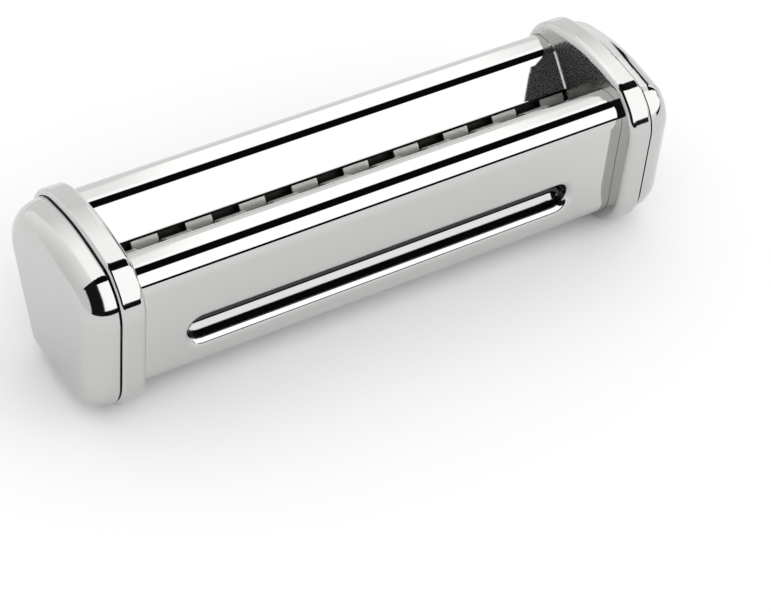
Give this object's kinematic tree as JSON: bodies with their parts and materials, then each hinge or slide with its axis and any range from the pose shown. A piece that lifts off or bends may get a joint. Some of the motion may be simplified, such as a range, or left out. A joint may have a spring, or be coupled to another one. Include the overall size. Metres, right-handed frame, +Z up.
{
  "type": "pasta cutter head",
  "caption": "Chromed pasta cutting head with interleaved cutter rollers in a feed throat, rounded end caps and a crank socket",
  "frame": {"origin": "on the resting plane, under the middle of the body's box", "axes": "+X along the rollers towards the crank socket, -Y is the front with the pressed bead, +Z is up"},
  "size_m": [0.1796, 0.052, 0.0503],
  "materials": {
    "body_chrome": "bright chrome plate",
    "roller_steel": "fine turned satin",
    "gear_steel": "machined",
    "bearing_bronze": "sintered, oiled",
    "comb_steel": "rolled sheet",
    "fastener_steel": "zinc plated"
  },
  "bodies": {
    "frame": {"left_side_frame": "body_chrome", "right_side_frame": "body_chrome", "left_end_cap": "body_chrome", "right_end_cap": "body_chrome", "front_cover": "body_chrome", "rear_cover": "body_chrome", "front_comb": "comb_steel", "rear_comb": "comb_steel", "front_left_bush": "bearing_bronze", "front_right_bush": "bearing_bronze", "rear_left_bush": "bearing_bronze", "rear_right_bush": "bearing_bronze", "upper_front_tie_rod": "fastener_steel", "lower_front_tie_rod": "fastener_steel", "upper_rear_tie_rod": "fastener_steel", "lower_rear_tie_rod": "fastener_steel", "tie_rod_nuts": "fastener_steel", "tie_rod_washers": "fastener_steel", "left_guide_channel": "comb_steel", "right_guide_channel": "comb_steel", "guide_rivets": "fastener_steel"},
    "front_roller": {"front_cutter_roller": "roller_steel", "front_gear": "gear_steel", "front_roller_clip": "fastener_steel", "drive_socket": "fastener_steel", "drive_socket_pin": "fastener_steel"},
    "rear_roller": {"rear_cutter_roller": "roller_steel", "rear_gear": "gear_steel", "rear_roller_clips": "fastener_steel"}
  },
  "joints": [
    {"name": "front_roller_spin", "type": "hinge", "parent": "frame", "child": "front_roller", "pos_m": [0, -0.003, 0.0258], "axis": [1, 0, 0], "continuous": true},
    {"name": "rear_roller_spin", "type": "hinge", "parent": "frame", "child": "rear_roller", "pos_m": [0, 0.011, 0.0258], "axis": [1, 0, 0], "continuous": true}
  ],
  "couplings": [
    {"joint": "rear_roller_spin", "follows": "front_roller_spin", "ratio": -1}
  ]
}
